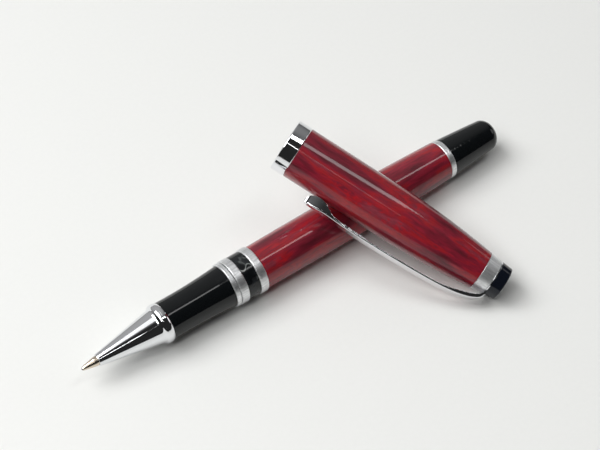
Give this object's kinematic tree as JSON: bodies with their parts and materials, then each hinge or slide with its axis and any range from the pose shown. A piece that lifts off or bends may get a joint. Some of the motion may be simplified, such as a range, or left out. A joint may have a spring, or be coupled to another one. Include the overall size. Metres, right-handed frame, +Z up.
{
  "type": "rollerball pen",
  "caption": "Uncapped rollerball pen lying flat, marbled red barrel, chrome cone and rings, with its clipped cap laid across the barrel.",
  "frame": {"origin": "on the table, under the middle of the bounding box of the pen and its cap as they lie", "axes": "+X along the pen axis from the writing point towards the tail, +Z up from the table, +Y to the side the cap's open lip is on"},
  "size_m": [0.1204, 0.0564, 0.0309],
  "materials": {
    "chrome": "mirror polished",
    "red_lacquer": "gloss, streaked deep red and crimson",
    "dark_marble": "gloss black with pale grey veins",
    "black_gloss": "gloss",
    "nickel_silver": "fine turned",
    "carbide": "polished",
    "brass": "turned",
    "refill_plastic": "satin",
    "refill_metal": "drawn tube",
    "ink_fibre": "ink-soaked fibre",
    "spring_steel": "drawn wire",
    "liner_plastic": "satin"
  },
  "bodies": {
    "barrel": {"barrel_tube": "red_lacquer", "barrel_insert": "brass", "joint_ring": "chrome", "marbled_band": "dark_marble", "barrel_front_ring": "chrome", "barrel_rear_ring": "chrome", "tail_bush": "brass", "tail_cap": "black_gloss", "refill_spring": "spring_steel", "spring_seat": "liner_plastic"},
    "refill": {"refill_point": "nickel_silver", "refill_nose": "refill_plastic", "refill_tube": "refill_metal", "refill_reservoir": "ink_fibre", "refill_plug": "refill_plastic"},
    "ball": {"refill_ball": "carbide"},
    "section": {"nose_cone": "chrome", "grip_section": "black_gloss", "section_ring": "chrome", "section_bush": "brass"},
    "cap": {"cap_lip_ring": "chrome", "cap_tube": "red_lacquer", "cap_liner": "liner_plastic", "cap_end_plug": "brass", "cap_top_ring": "chrome", "clip_ring": "chrome", "finial": "black_gloss", "cap_screw": "brass"},
    "clip": {"clip": "chrome"}
  },
  "joints": [
    {"name": "cap_lift", "type": "slide", "parent": "barrel", "child": "cap", "axis": [0, 0, 1], "range_m": [0, 0.04]},
    {"name": "clip_flex", "type": "hinge", "parent": "cap", "child": "clip", "pos_m": [0.02706, -0.02522, 0.00333], "axis": [-0.1378, -0.4386, 0.8881], "range_deg": [0, 1.5], "stiffness_Nm_per_rad": 18},
    {"name": "refill_advance", "type": "slide", "parent": "barrel", "child": "refill", "axis": [-1, 0, 0], "range_m": [0, 0.005], "deforming": ["refill_spring"]},
    {"name": "section_turn", "type": "hinge", "parent": "refill", "child": "section", "pos_m": [-0.02732, 0.0108, 0.00584], "axis": [-1, 0, 0], "range_deg": [0, 1830]},
    {"name": "ball_roll", "type": "hinge", "parent": "refill", "child": "ball", "pos_m": [-0.05983, 0.0108, 0.00584], "axis": [0, 1, 0], "continuous": true}
  ],
  "couplings": [
    {"joint": "section_turn", "follows": "refill_advance", "rad_per_m": 6283.2}
  ]
}
